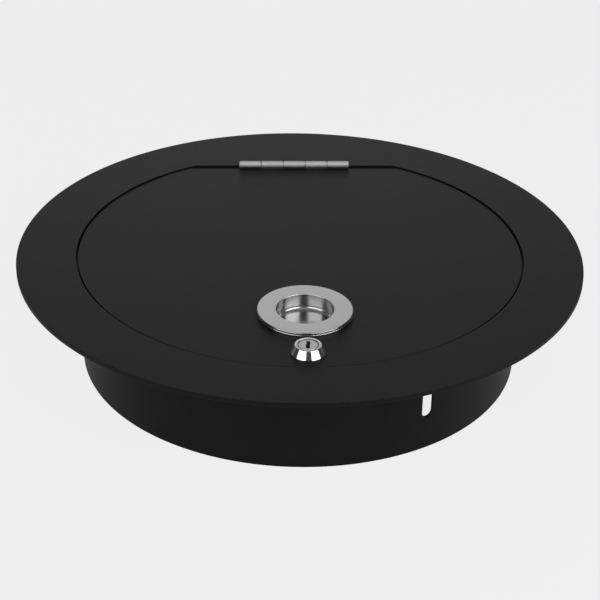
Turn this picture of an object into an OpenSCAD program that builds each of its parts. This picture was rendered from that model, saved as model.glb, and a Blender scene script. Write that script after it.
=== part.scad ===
// Round lockable desk grommet: a wide steel flange on a cable sleeve, closed by a hinged lid with a
// flush pull and a cam lock. The origin is on the sleeve's axis, in the plane of the desk's top face.
// +Z is up, the hinge is towards +Y and the lock towards -Y.

/* [Flange] */
// Outside diameter of the flange, which covers the edge of the desk hole
flange_od = 355.6; // [330:0.1:430]
// Thickness of the flange plate
flange_t = 3; // [2.5:0.1:4]

/* [Lid] */
// Diameter of the lid's round edge
lid_d = 279.4; // [230:0.1:290]
// Thickness of the lid plate
lid_t = 1.5; // [1.2:0.1:2.2]
// Gap between the lid's round edge and the flange
lid_gap = 1.1; // [0.8:0.1:2.5]

/* [Ledge ring and bumpers] */
// Thickness of the ring below the flange that the lid rests on
ledge_t = 2; // [1.5:0.1:3]
// How far the ring reaches in under the lid
ledge_reach = 6.7; // [5:0.1:9]
// How far the ring laps out under the flange
ledge_lap = 2; // [1.5:0.1:5]
// Diameter of the rubber bumpers stuck to the ring
bumper_d = 5; // [3:0.1:6]
// Thickness of the bumpers, which hold the lid's top face just below the flange's
bumper_t = 0.8; // [0.3:0.1:1.2]
// Number of bumpers
bumper_count = 4; // [3:1:8]

/* [Sleeve] */
// Height from the flange's top face to the sleeve's foot
overall_h = 69.85; // [56:0.05:110]
// Wall thickness of the sleeve
sleeve_wall = 1.5; // [1:0.1:2.5]
// Step in from the lid's edge to the sleeve's outer face
sleeve_inset = 0.7; // [0:0.1:2]
// Width of the fixing slots
slot_w = 7.2; // [5:0.1:10]
// Length of the fixing slots, over their round ends
slot_len = 26; // [16:0.5:30]
// Height of the slots' lower ends above the sleeve's foot
slot_foot = 22; // [14:0.5:24]
// Number of fixing slots, spaced evenly round the sleeve
slot_count = 3; // [2:1:6]
// Angle from the lock's side to the first slot
slot_first = 30.7; // [20:0.1:60]

/* [Hinge] */
// Length of the hinge
hinge_w = 76.2; // [50:0.1:100]
// Number of knuckles, the outer ones on the flange's side
knuckle_count = 5; // [3:2:9]
// Outside diameter of the knuckles
barrel_d = 4.2; // [4:0.1:7]
// Diameter of the hinge pin
pin_d = 2.5; // [2:0.1:3]
// Thickness of the hinge leaves
leaf_t = 1; // [0.8:0.1:1.2]
// Gap between the two leaves when the lid is shut
leaf_gap = 1; // [0.8:0.1:1.4]
// How far the leaves reach below the desk's top face
leaf_depth = 11; // [9:0.5:16]
// Thickness of the bars that the leaves are riveted to
bar_t = 3; // [2:0.1:5]
// Distance from the lid's edge, if it were a whole circle, in to the hinge axis
hinge_inset = 18.4; // [16:0.1:26]
// Shank diameter of the hinge rivets
rivet_d = 3.2; // [2.4:0.1:4]

/* [Pull] */
// Outside diameter of the pull's rim
pull_od = 57.15; // [48:0.05:64]
// Diameter of the finger opening
pull_open = 34.4; // [28:0.1:38]
// Depth of the cup below the top of its rim
pull_depth = 10; // [8:0.1:16]
// Height that the rim stands above the lid
pull_rim_h = 2.8; // [1:0.1:3.5]
// Wall thickness of the cup
pull_wall = 0.9; // [0.6:0.1:1.2]
// Distance between the middles of the pull and the lock
pull_pitch = 44.7; // [42:0.1:55]

/* [Lock] */
// Distance from the lid's edge in to the lock's axis
lock_inset = 16; // [15:0.1:18]
// Diameter of the lock head's foot
lock_head_d = 20.6; // [19:0.1:23]
// Diameter of the lock head's flat top
lock_top_d = 15.5; // [14.4:0.1:17]
// Height of the lock head
lock_head_h = 5.2; // [3:0.1:6]
// Thread diameter of the lock body
lock_body_d = 16; // [15.8:0.1:17]
// Width across the two flats of the lock body
lock_flats = 15; // [14.8:0.1:15.2]
// Length of the lock body below the lid's top face
lock_body_l = 16; // [15:0.5:22]
// Diameter of the turning plug
plug_d = 12.2; // [12:0.1:12.4]
// Width across the flats of the lock nut
nut_af = 19; // [18.5:0.1:20]
// Thickness of the lock nut
nut_t = 3; // [2:0.1:4]
// Thickness of the cam
cam_t = 2.4; // [2:0.1:2.6]
// Width of the cam's arm
cam_w = 10; // [8:0.1:12]
// How far the locked cam reaches past the sleeve's outer face
cam_past = 2.5; // [1:0.1:3]
// Number of wafers in the plug
wafer_count = 4; // [2:1:4]

/* [Hidden] */

$fn = 96;
// Overshoot of a cut past the face it starts from
cut = 1;

// Clearances: of a turning fit, between separate pieces, below the lock body, and round the swinging nut
run_gap = 0.05;
part_gap = 0.3;
stop_gap = 0.1;
swing_gap = 2;

// Heights
lid_under = bumper_t;
lid_top = lid_under + lid_t;
foot_z = flange_t - overall_h;

// Radii round the sleeve's axis
lid_r = lid_d / 2;
opening_r = lid_r + lid_gap;
ledge_inner_r = lid_r - ledge_reach;
ledge_outer_r = opening_r + ledge_lap;
ledge_back_reach = 3;
sleeve_r = lid_r - sleeve_inset;
bumper_r = lid_r - ledge_reach / 2;
bumper_first = 45;

// Hinge
hinge_y = lid_r - hinge_inset;
leaf_face = leaf_gap / 2;
leaf_back = leaf_face + leaf_t;
leaf_top = flange_t - 1.5;
// The barrel sits between the two straight edges and clears their corners by part_gap
hinge_z = flange_t + sqrt(pow(barrel_d / 2 + part_gap, 2) - pow(leaf_back, 2));
knuckle_pitch = hinge_w / knuckle_count;
bar_over = 1;
bar_w = hinge_w + 2 * bar_over;
bar_depth = leaf_depth + bar_over;
rivet_head_over = 0.9;
rivet_head_r = rivet_d / 2 + rivet_head_over;
rivet_tail_over = 1;
rivet_tail_r = rivet_d / 2 + rivet_tail_over;
rivet_tail_h = 1.2;
rivet_pitch = hinge_w / 3;

// Lock and pull
lock_y = -(lid_r - lock_inset);
pull_y = lock_y + pull_pitch;
body_end = lid_top - lock_body_l;
bore_r = plug_d / 2 + run_gap;
nut_r = nut_af / 2 / cos(30);
notch_r = nut_r + swing_gap;
washer_t = 0.8;
washer_r = nut_r - 0.6;
washer_teeth = 16;
tooth_gap_w = 0.8;
tooth_gap_l = 1;
lid_hole_gap = 0.15;
plug_drop = 0.2;
plug_top = lid_top + lock_head_h - plug_drop;

// Quarter-turn stop below the lock body, and the cam stack on the plug's tail
quarter = 90;
stop_t = 1;
stop_recess = 1.5;
stop_r = lock_body_d / 2 - 0.2;
tab_w = 4;
tab_in = bore_r + 0.15;
tab_out = lock_body_d / 2 - 0.1;
tail_d = 9;
tail_flats = 6.5;
cam_top = body_end - stop_gap - stop_t;
cam_reach = sleeve_r + lock_y + cam_past;
cam_boss_r = 7.5;
cam_slot_gap = 0.6;
spring_t = 0.8;
spring_split = 0.6;
screw_d = 4;
screw_head_d = 8;
screw_head_h = 2.6;
screw_len = 7;
socket_d = 4;
socket_h = 1.6;

// Pull
cup_r = pull_open / 2 + pull_wall;
cup_floor = lid_top + pull_rim_h - pull_depth;
cup_fillet = 2.5;
ring_t = 0.8;
ring_w = 6;
ring_slits = 12;
ring_slit_w = 1;
ring_slit_l = 3;

// Wafers
wafer_t = 1;
wafer_w = 6;
wafer_r = plug_d / 2 - 0.1;
wafer_travel = 0.5;
wafer_gap = 0.1;
wafer_pitch = 2.4;
wafer_drop = 1;
wafer_top = lid_top - wafer_drop;
groove_r = wafer_r + wafer_travel + part_gap;
keyway_w = 2.3;
keyway_l = 8;
keyway_step = 0.2;
keyway_lap = 0.5;
window_w = keyway_w + 1;
keyway_end = wafer_top - wafer_count * wafer_pitch;

// ---- Shared shapes ----

// Outline of a disc cut off by a straight edge on the hinge's side
module chord_disc(r, y_max) {
    difference() {
        circle(r = r, $fn = 180);
        translate([-r - cut, y_max]) square([2 * (r + cut), r]);
    }
}

// A disc with two flats, as on the lock body and its plug's tail
module double_d(d, flats) {
    intersection() {
        circle(d = d);
        square([flats, d + cut], center = true);
    }
}

// Puts its children round the lock's axis, at height z
module at_lock(z) {
    translate([0, lock_y, z]) children();
}

// One leaf with every second knuckle, on the side of the axis that side gives
module hinge_leaf(side, first, bore) {
    difference() {
        union() {
            leaf_strip(side, 0, hinge_w, -leaf_depth, leaf_top);
            for (i = [first : 2 : knuckle_count - 1]) {
                x = (i + 0.5) * knuckle_pitch - hinge_w / 2;
                w = knuckle_pitch - part_gap;
                leaf_strip(side, x, w, leaf_top - cut, hinge_z);
                translate([x - w / 2, hinge_y, hinge_z]) rotate([0, 90, 0]) cylinder(d = barrel_d, h = w);
            }
        }
        translate([-hinge_w / 2 - cut, hinge_y, hinge_z])
            rotate([0, 90, 0]) cylinder(d = bore, h = hinge_w + 2 * cut);
        at_rivets(side) rivet_head();
    }
}

// Stretch of a leaf's sheet about x, from height z0 to z1
module leaf_strip(side, x, w, z0, z1) {
    y = side > 0 ? hinge_y + leaf_face : hinge_y - leaf_back;
    translate([x - w / 2, y, z0]) cube([w, leaf_t, z1 - z0]);
}

// Puts its children at each rivet, with +Z running from the leaf's face into the bar
module at_rivets(side) {
    for (i = [-1 : 1])
        translate([i * rivet_pitch, hinge_y + side * leaf_face, -leaf_depth / 2])
            rotate([-side * 90, 0, 0]) children();
}

// Countersunk head, flush with the leaf's face
module rivet_head() {
    cylinder(r1 = rivet_head_r, r2 = rivet_d / 2, h = leaf_t);
}

// Shank through the leaf and the bar
module rivet_shank() {
    cylinder(d = rivet_d, h = leaf_t + bar_t);
}

// Whole rivet, with its set tail behind the bar
module rivet() {
    rivet_head();
    rivet_shank();
    translate([0, 0, leaf_t + bar_t]) cylinder(r1 = rivet_tail_r, r2 = rivet_d / 2, h = rivet_tail_h);
}

// Bar that a leaf is riveted to, up to the underside of the plate that carries it
module hinge_bar(side, z_top) {
    y = side > 0 ? hinge_y + leaf_back : hinge_y - leaf_back - bar_t;
    difference() {
        translate([-bar_w / 2, y, -bar_depth]) cube([bar_w, bar_t, bar_depth + z_top]);
        at_rivets(side) rivet_shank();
    }
}

// ---- Frame: what is fixed to the desk ----

// Flat ring with a round opening that has a straight edge at the hinge
module flange_plate() {
    color("#2b2b2b") linear_extrude(flange_t) difference() {
        circle(d = flange_od, $fn = 180);
        chord_disc(opening_r, hinge_y + leaf_back);
    }
}

// Ring welded below the flange, straight inside at the hinge. It is notched so that the lock's nut can swing
// past, and has a window for the hinge bars.
module ledge_ring() {
    color("#2b2b2b") translate([0, 0, -ledge_t]) linear_extrude(ledge_t) difference() {
        circle(r = ledge_outer_r, $fn = 180);
        chord_disc(ledge_inner_r, hinge_y - leaf_back - ledge_back_reach);
        translate([0, lock_y]) circle(r = notch_r);
        translate([-bar_w / 2 - part_gap, 0])
            square([bar_w + 2 * part_gap, hinge_y + leaf_back + bar_t + part_gap]);
    }
}

// Rolled cable sleeve with fixing slots and a slot that the cam locks into
module sleeve() {
    color("#262626") difference() {
        translate([0, 0, foot_z]) cylinder(r = sleeve_r, h = -ledge_t - foot_z, $fn = 180);
        translate([0, 0, foot_z - cut]) cylinder(r = sleeve_r - sleeve_wall, h = overall_h, $fn = 180);
        for (i = [0 : slot_count - 1])
            rotate([0, 0, slot_first + i * 360 / slot_count]) fixing_slot();
        translate([-cam_reach, -sleeve_r - cut, cam_top - cam_t - cam_slot_gap])
            cube([2 * cam_reach, sleeve_r + lock_y, cam_t + 2 * cam_slot_gap]);
    }
}

// Slot through the sleeve's wall on the lock's side, upright, with round ends
module fixing_slot() {
    straight = slot_len - slot_w;
    translate([0, -sleeve_r + 2 * sleeve_wall, foot_z + slot_foot + slot_w / 2]) rotate([90, 0, 0])
        linear_extrude(4 * sleeve_wall) {
            circle(d = slot_w);
            translate([0, straight]) circle(d = slot_w);
            translate([-slot_w / 2, 0]) square([slot_w, straight]);
        }
}

// Bar below the flange's straight edge
module frame_hinge_bar() {
    color("#2b2b2b") hinge_bar(1, 0);
}

// Rubber dots that the shut lid rests on
module lid_bumpers() {
    color("#151515") for (i = [0 : bumper_count - 1])
        rotate([0, 0, bumper_first + i * 360 / bumper_count]) translate([bumper_r, 0, 0])
            cylinder(d = bumper_d, h = bumper_t);
}

// Leaf on the flange's side, with the outer and middle knuckles
module hinge_frame_leaf() {
    color("#b4b4b4") hinge_leaf(1, 0, pin_d);
}

// Three rivets that hold the leaf to the flange's bar
module hinge_frame_rivets() {
    color("#9a9a9a") at_rivets(1) rivet();
}

// Pin pressed into the frame leaf's knuckles
module hinge_pin() {
    color("#a0a0a0") translate([-hinge_w / 2 + part_gap / 2, hinge_y, hinge_z])
        rotate([0, 90, 0]) cylinder(d = pin_d, h = hinge_w - part_gap);
}

// ---- Lid ----

// Flat disc with a straight edge at the hinge, and holes for the pull and the lock
module lid_panel() {
    color("#333333") translate([0, 0, lid_under]) linear_extrude(lid_t) difference() {
        chord_disc(lid_r, hinge_y - leaf_back);
        translate([0, pull_y]) circle(r = cup_r + lid_hole_gap);
        translate([0, lock_y]) double_d(lock_body_d + 2 * lid_hole_gap, lock_flats + 2 * lid_hole_gap);
    }
}

// Bar below the lid's straight edge
module lid_hinge_bar() {
    color("#2b2b2b") hinge_bar(-1, lid_under);
}

// Leaf on the lid's side, with the two knuckles between, which turn on the pin
module hinge_lid_leaf() {
    color("#b4b4b4") hinge_leaf(-1, 1, pin_d + 2 * run_gap);
}

// Three rivets that hold the leaf to the lid's bar
module hinge_lid_rivets() {
    color("#9a9a9a") at_rivets(-1) rivet();
}

// Drawn cup with a flat rim that stands on the lid
module pull_cup() {
    floor_h = cup_floor - lid_top;
    color("#b0b0b0") translate([0, pull_y, lid_top]) rotate_extrude() difference() {
        union() {
            translate([0, floor_h - pull_wall]) square([cup_r, pull_wall - floor_h]);
            square([pull_od / 2, pull_rim_h]);
        }
        translate([0, floor_h + cup_fillet]) square([pull_open / 2, pull_depth]);
        translate([0, floor_h]) square([pull_open / 2 - cup_fillet, pull_depth]);
        translate([pull_open / 2 - cup_fillet, floor_h + cup_fillet]) circle(r = cup_fillet);
    }
}

// Push-on ring whose teeth grip the cup below the lid
module pull_retaining_ring() {
    color("#8c8c8c") translate([0, pull_y, lid_under - ring_t]) linear_extrude(ring_t) difference() {
        circle(r = cup_r + ring_w);
        circle(r = cup_r);
        for (i = [0 : ring_slits - 1])
            rotate(i * 360 / ring_slits) translate([cup_r - cut, -ring_slit_w / 2])
                square([ring_slit_l + cut, ring_slit_w]);
    }
}

// Conical head and flatted body, bored for the plug, grooved for the wafers, with a quarter-turn stop
module lock_housing() {
    wafer_span = wafer_count * wafer_pitch;
    side = asin((tab_w / 2 + part_gap) / tab_in);
    color("#c8c8c8") difference() {
        union() {
            at_lock(lid_top) cylinder(d1 = lock_head_d, d2 = lock_top_d, h = lock_head_h);
            at_lock(body_end) linear_extrude(lock_body_l) double_d(lock_body_d, lock_flats);
        }
        at_lock(body_end - cut) cylinder(r = bore_r, h = lock_body_l + lock_head_h + 2 * cut);
        for (a = [0, quarter])
            at_lock(wafer_top - wafer_span) rotate([0, 0, a])
                translate([-wafer_w / 2 - 2 * wafer_gap, -groove_r, 0])
                cube([wafer_w + 4 * wafer_gap, 2 * groove_r, wafer_span + wafer_gap]);
        at_lock(body_end - cut) linear_extrude(stop_recess + cut) polygon([
            [0, 0],
            for (a = [side, -quarter / 3, -quarter * 2 / 3, -quarter - side]) lock_body_d * [cos(a), sin(a)]
        ]);
    }
}

// Toothed washer between the lid and the nut
module lock_washer() {
    color("#9a9a9a") at_lock(lid_under - washer_t) linear_extrude(washer_t) difference() {
        circle(r = washer_r);
        circle(d = lock_body_d);
        for (i = [0 : washer_teeth - 1])
            rotate((i + 0.5) * 360 / washer_teeth) translate([washer_r - tooth_gap_l, -tooth_gap_w / 2])
                square([tooth_gap_l + cut, tooth_gap_w]);
    }
}

// Thin hexagon nut on the lock body's thread
module lock_nut() {
    color("#9a9a9a") at_lock(lid_under - washer_t - nut_t) linear_extrude(nut_t) difference() {
        circle(r = nut_r, $fn = 6);
        circle(d = lock_body_d);
    }
}

// ---- Lock core: what the key turns ----

// Plug with its keyway, wafer slots and flatted tail
module lock_plug() {
    tail_l = stop_gap + stop_t + cam_t;
    color("#bdbdbd") difference() {
        union() {
            at_lock(body_end) cylinder(d = plug_d, h = plug_top - body_end);
            at_lock(body_end - tail_l) linear_extrude(tail_l) double_d(tail_d, tail_flats);
        }
        at_lock(keyway_end) translate([-keyway_w / 2 + keyway_step, 0, 0])
            cube([keyway_w, keyway_l / 2, plug_top - keyway_end + cut]);
        at_lock(keyway_end) translate([-keyway_w / 2 - keyway_step, -keyway_l / 2, 0])
            cube([keyway_w, keyway_l / 2 + keyway_lap, plug_top - keyway_end + cut]);
        at_wafers() translate([-wafer_w / 2 - wafer_gap, -plug_d, -wafer_gap])
            cube([wafer_w + 2 * wafer_gap, 2 * plug_d, wafer_t + 2 * wafer_gap]);
        at_lock(body_end - tail_l - cut) cylinder(d = screw_d, h = screw_len - spring_t + cut);
    }
}

// Puts its children at the underside of each wafer
module at_wafers() {
    for (i = [0 : wafer_count - 1])
        at_lock(wafer_top - (i + 0.5) * wafer_pitch - wafer_t / 2) children();
}

// Brass wafers, drawn in by the key's height so that the plug can turn
module lock_wafers() {
    color("#c0a050") at_wafers() linear_extrude(wafer_t) difference() {
        intersection() {
            circle(r = wafer_r);
            square([wafer_w, 2 * plug_d], center = true);
        }
        square([window_w, keyway_l], center = true);
    }
}

// Washer that turns with the plug; its tab runs in the housing's quarter-turn recess
module stop_washer() {
    color("#9a9a9a") difference() {
        union() {
            at_lock(cam_top) cylinder(r = stop_r, h = stop_t);
            at_lock(cam_top) translate([tab_in, -tab_w / 2, 0])
                cube([tab_out - tab_in, tab_w, stop_t + stop_gap + stop_recess - part_gap]);
        }
        at_lock(cam_top - cut) linear_extrude(stop_t + 2 * cut) double_d(tail_d, tail_flats);
    }
}

// Flat cam, at rest turned aside along +X so that the lid can open
module lock_cam() {
    tip = cam_reach - cam_w / 2;
    color("#a8a8a8") at_lock(cam_top - cam_t) linear_extrude(cam_t) difference() {
        union() {
            circle(r = cam_boss_r);
            translate([0, -cam_w / 2]) square([tip, cam_w]);
            translate([tip, 0]) circle(d = cam_w);
        }
        double_d(tail_d, tail_flats);
    }
}

// Split spring washer below the cam
module cam_spring_washer() {
    color("#8c8c8c") at_lock(cam_top - cam_t - spring_t) linear_extrude(spring_t) difference() {
        circle(d = screw_head_d);
        circle(d = screw_d);
        translate([-spring_split / 2, 0]) square([spring_split, screw_head_d]);
    }
}

// Hexagon socket screw that holds the cam on the plug
module cam_screw() {
    head_top = cam_top - cam_t - spring_t;
    color("#9a9a9a") difference() {
        union() {
            at_lock(head_top - screw_head_h) cylinder(d = screw_head_d, h = screw_head_h);
            at_lock(head_top) cylinder(d = screw_d, h = screw_len);
        }
        at_lock(head_top - screw_head_h - cut) cylinder(d = socket_d, h = socket_h + cut, $fn = 6);
    }
}

flange_plate();
ledge_ring();
sleeve();
frame_hinge_bar();
lid_bumpers();
hinge_frame_leaf();
hinge_frame_rivets();
hinge_pin();
lid_panel();
lid_hinge_bar();
hinge_lid_leaf();
hinge_lid_rivets();
pull_cup();
pull_retaining_ring();
lock_housing();
lock_washer();
lock_nut();
lock_plug();
stop_washer();
lock_cam();
cam_spring_washer();
cam_screw();
lock_wafers();
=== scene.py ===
from math import cos, hypot, pi, radians, sin, tan

import bpy
from mathutils import Matrix, Vector


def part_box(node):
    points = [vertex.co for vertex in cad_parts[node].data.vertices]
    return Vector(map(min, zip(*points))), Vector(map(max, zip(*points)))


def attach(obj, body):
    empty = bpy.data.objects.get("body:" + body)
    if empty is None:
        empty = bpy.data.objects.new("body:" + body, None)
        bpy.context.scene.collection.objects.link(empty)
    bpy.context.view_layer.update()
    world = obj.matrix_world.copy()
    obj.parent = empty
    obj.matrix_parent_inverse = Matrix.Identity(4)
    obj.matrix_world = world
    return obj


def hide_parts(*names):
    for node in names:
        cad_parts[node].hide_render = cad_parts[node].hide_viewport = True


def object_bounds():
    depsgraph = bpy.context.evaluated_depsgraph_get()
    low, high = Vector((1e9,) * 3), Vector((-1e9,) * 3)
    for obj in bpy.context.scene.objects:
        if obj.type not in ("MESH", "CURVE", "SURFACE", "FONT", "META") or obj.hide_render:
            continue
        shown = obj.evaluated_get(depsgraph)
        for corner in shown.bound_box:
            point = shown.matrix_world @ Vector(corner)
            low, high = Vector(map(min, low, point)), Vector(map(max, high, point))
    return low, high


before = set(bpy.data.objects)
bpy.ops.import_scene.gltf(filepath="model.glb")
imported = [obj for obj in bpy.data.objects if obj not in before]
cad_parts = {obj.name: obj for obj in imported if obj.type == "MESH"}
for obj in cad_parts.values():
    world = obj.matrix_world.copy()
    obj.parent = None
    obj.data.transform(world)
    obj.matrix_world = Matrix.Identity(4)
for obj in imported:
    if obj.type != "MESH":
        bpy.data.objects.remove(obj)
cad_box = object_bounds()


# ---- Flange plate ----
# Ring laser-cut from 3 mm mild steel. Its round opening is straight on the hinge's side, and its edges are
# broken before it is powder coated. It lies on the desk and carries everything else.
MM = 0.001
flange_low, flange_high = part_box("flange_plate")
lid_low, lid_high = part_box("lid_panel")
flange_radius = (flange_high.y - flange_low.y) / 2
desk_top = flange_low.z
flange_top = flange_high.z
lid_radius = (lid_high.x - lid_low.x) / 2
lid_gap = 1.1 * MM
opening_radius = lid_radius + lid_gap
opening_straight_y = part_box("frame_hinge_bar")[0].y
plate_edge = 0.3 * MM
plate_sides = 288
past = 1 * MM


def only(piece):
    """Makes one piece the only one that an operator acts on."""
    bpy.ops.object.select_all(action="DESELECT")
    piece.select_set(True)
    bpy.context.view_layer.objects.active = piece


def turned(name, outline, sides, ring=False):
    """Turns an outline of (radius, height) points about Z, circle by circle, into a ring or a solid with flat
    ends."""
    bpy.ops.object.select_all(action="DESELECT")
    radius, height = outline[0]
    bpy.ops.mesh.primitive_circle_add(vertices=sides, radius=radius)
    piece = bpy.context.object
    piece.name = piece.data.name = name
    bpy.ops.object.mode_set(mode="EDIT")
    bpy.ops.mesh.select_all(action="SELECT")
    bpy.ops.transform.translate(value=(0, 0, height))
    for next_radius, next_height in outline[1:] + (outline[:1] if ring else []):
        bpy.ops.mesh.extrude_region_move(TRANSFORM_OT_translate={"value": (0, 0, next_height - height)})
        scale = next_radius / radius
        bpy.ops.transform.resize(value=(scale, scale, 1), center_override=(0, 0, 0))
        radius, height = next_radius, next_height
    bpy.ops.mesh.select_all(action="SELECT")
    bpy.ops.mesh.remove_doubles(threshold=0.001 * MM)
    if not ring:
        bpy.ops.mesh.fill_holes(sides=0)
    bpy.ops.mesh.normals_make_consistent(inside=False)
    bpy.ops.object.mode_set(mode="OBJECT")
    return piece


def round_cutter(name, radius, low, high, sides):
    """An upright round cutter that stands past both heights, for a hole through all between them."""
    return turned(name, [(radius, low - past), (radius, high + past)], sides)


def slice_off(piece, point, direction):
    """Cuts a solid with a plane, removes what lies along direction and closes the cut."""
    only(piece)
    bpy.ops.object.mode_set(mode="EDIT")
    bpy.ops.mesh.select_all(action="SELECT")
    bpy.ops.mesh.bisect(plane_co=point, plane_no=direction, use_fill=True, clear_outer=True)
    bpy.ops.object.mode_set(mode="OBJECT")


def combine(piece, other, how="DIFFERENCE"):
    """Cuts the other solid from the piece, joins it on, or keeps what both share, and uses the other up."""
    only(piece)
    modifier = piece.modifiers.new("combine", "BOOLEAN")
    modifier.operation = how
    modifier.solver = "EXACT"
    modifier.object = other
    bpy.ops.object.modifier_apply(modifier=modifier.name)
    bpy.data.objects.remove(other, do_unlink=True)


def place(piece, at, turn=(0, 0, 0)):
    """Turns and moves a piece, and puts its place in its mesh."""
    only(piece)
    piece.location = at
    piece.rotation_euler = turn
    bpy.ops.object.transform_apply(location=True, rotation=True, scale=True)


def soften(piece, width, sharper_than=40, segments=3):
    """Rounds every edge that turns by more than the given angle."""
    only(piece)
    modifier = piece.modifiers.new("soften", "BEVEL")
    modifier.width = width
    modifier.segments = segments
    modifier.limit_method = "ANGLE"
    modifier.angle_limit = radians(sharper_than)
    modifier.use_clamp_overlap = False
    bpy.ops.object.modifier_apply(modifier=modifier.name)


def smooth(piece, material, smoother_than=42):
    """Shades round walls smooth, keeps flat faces flat, and gives the piece its material."""
    only(piece)
    bpy.ops.object.mode_set(mode="EDIT")
    bpy.ops.mesh.select_all(action="SELECT")
    bpy.ops.mesh.remove_doubles(threshold=0.001 * MM)
    bpy.ops.mesh.normals_make_consistent(inside=False)
    bpy.ops.object.mode_set(mode="OBJECT")
    bpy.ops.object.shade_smooth_by_angle(angle=radians(smoother_than))
    modifier = piece.modifiers.new("flats", "WEIGHTED_NORMAL")
    modifier.keep_sharp = True
    bpy.ops.object.modifier_apply(modifier=modifier.name)
    piece.data.materials.clear()
    piece.data.materials.append(material)


def linear(colour):
    """Turns an sRGB hex colour into linear red, green, blue and alpha."""
    parts = [int(colour[i:i + 2], 16) / 255 for i in (1, 3, 5)]
    return [p / 12.92 if p <= 0.04045 else ((p + 0.055) / 1.055) ** 2.4 for p in parts] + [1]


def add_node(tree, kind, inputs=(), **settings):
    """Adds a node with its settings; an input is a number, a colour or another node's output."""
    node = tree.nodes.new(kind)
    for name, value in settings.items():
        setattr(node, name, value)
    for name, value in dict(inputs).items():
        if isinstance(value, bpy.types.NodeSocket):
            tree.links.new(value, node.inputs[name])
        else:
            node.inputs[name].default_value = value
    return node


def new_material(name):
    """Makes an empty node material and its Object coordinates."""
    material = bpy.data.materials.new(name)
    material.use_nodes = True
    tree = material.node_tree
    tree.nodes.clear()
    place_of = add_node(tree, "ShaderNodeTexCoord").outputs["Object"]
    return material, tree, place_of


def finish_material(tree, shader):
    """Leads the shader to the material's surface."""
    add_node(tree, "ShaderNodeOutputMaterial", {"Surface": shader.outputs[0]})


def powder_coat():
    """Satin black polyester powder, sprayed and baked: near-black, with a fine pebbled skin that breaks up
    reflections, and a very slight mottle where the film is thicker."""
    material, tree, place_of = new_material("powder_coat_black")
    pebble = 0.9 * MM
    mottle = 14 * MM
    grain = add_node(tree, "ShaderNodeTexNoise", {"Vector": place_of, "Scale": 1 / pebble, "Detail": 3.0,
                                                  "Roughness": 0.6})
    film = add_node(tree, "ShaderNodeTexNoise", {"Vector": place_of, "Scale": 1 / mottle, "Detail": 2.0})
    colour = add_node(tree, "ShaderNodeValToRGB", {"Fac": film.outputs["Fac"]})
    colour.color_ramp.elements[0].position = 0.3
    colour.color_ramp.elements[0].color = linear("#0f0f0f")
    colour.color_ramp.elements[1].position = 0.7
    colour.color_ramp.elements[1].color = linear("#121212")
    sheen = add_node(tree, "ShaderNodeMapRange", {"Value": grain.outputs["Fac"], "From Min": 0.3,
                                                  "From Max": 0.7, "To Min": 0.38, "To Max": 0.46})
    bump = add_node(tree, "ShaderNodeBump", {"Height": grain.outputs["Fac"], "Strength": 0.25,
                                             "Distance": 0.05 * MM})
    shader = add_node(tree, "ShaderNodeBsdfPrincipled", {
        "Base Color": colour.outputs["Color"], "Roughness": sheen.outputs["Result"], "IOR": 1.5,
        "Specular IOR Level": 0.145, "Normal": bump.outputs["Normal"]})
    finish_material(tree, shader)
    return material


black_coat = powder_coat()
flange = turned("flange", [(flange_radius, desk_top), (flange_radius, flange_top)], plate_sides)
opening = round_cutter("opening", opening_radius, desk_top, flange_top, plate_sides)
slice_off(opening, (0, opening_straight_y, 0), (0, 1, 0))
combine(flange, opening)
soften(flange, plate_edge)
smooth(flange, black_coat)
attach(flange, "frame")
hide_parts("flange_plate")


# ---- Ledge ring ----
# Flat steel ring welded below the flange, straight inside at the hinge. It drops into the desk hole and stops
# the lid. A half-round notch lets the lock's nut swing past, and a window clears the hinge bars.
ledge_low, ledge_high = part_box("ledge_ring")
ledge_radius = (ledge_high.x - ledge_low.x) / 2
ledge_reach = 6.7 * MM
ledge_inner = lid_radius - ledge_reach
lock_low, lock_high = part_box("lock_housing")
lock_y = (lock_low.y + lock_high.y) / 2
notch_radius = 13 * MM
ledge_edge = 0.25 * MM
bar_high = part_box("frame_hinge_bar")[1]
ledge_back_reach = 3 * MM
window_gap = 0.3 * MM


def block(name, low, high):
    """A square block between two corners."""
    bpy.ops.object.select_all(action="DESELECT")
    bpy.ops.mesh.primitive_cube_add(size=1, location=[(a + b) / 2 for a, b in zip(low, high)])
    piece = bpy.context.object
    piece.name = piece.data.name = name
    piece.scale = [b - a for a, b in zip(low, high)]
    bpy.ops.object.transform_apply(location=True, rotation=True, scale=True)
    return piece


ledge = turned("ledge_ring_coated", [(ledge_radius, ledge_low.z), (ledge_radius, ledge_high.z)], plate_sides)
inside = round_cutter("inside", ledge_inner, ledge_low.z, ledge_high.z, plate_sides)
slice_off(inside, (0, lid_high.y - ledge_back_reach, 0), (0, 1, 0))
combine(ledge, inside)
combine(ledge, block("window", (-bar_high.x - window_gap, 0, ledge_low.z - past),
                     (bar_high.x + window_gap, bar_high.y + window_gap, ledge_high.z + past)))
notch = round_cutter("notch", notch_radius, ledge_low.z, ledge_high.z, 64)
place(notch, (0, lock_y, 0))
combine(ledge, notch)
soften(ledge, ledge_edge)
smooth(ledge, black_coat)
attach(ledge, "frame")
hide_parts("ledge_ring")


# ---- Cable sleeve ----
# Strip of 1.5 mm steel rolled to a hoop and welded below the ledge ring. Three upright slots take fixing
# screws, and a wide slot below the lock takes the cam. Powder coated inside and out.
sleeve_low, sleeve_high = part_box("sleeve")
sleeve_radius = (sleeve_high.y - sleeve_low.y) / 2
sleeve_wall = 1.5 * MM
slot_width = 7.2 * MM
slot_length = 26 * MM
slot_above_foot = 22 * MM
first_slot = radians(30.7)
slot_count = 3
slot_sides = 34
cam_low, cam_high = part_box("lock_cam")
cam_reach = cam_high.x
cam_slot_gap = 0.6 * MM
sleeve_edge = 0.2 * MM

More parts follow.
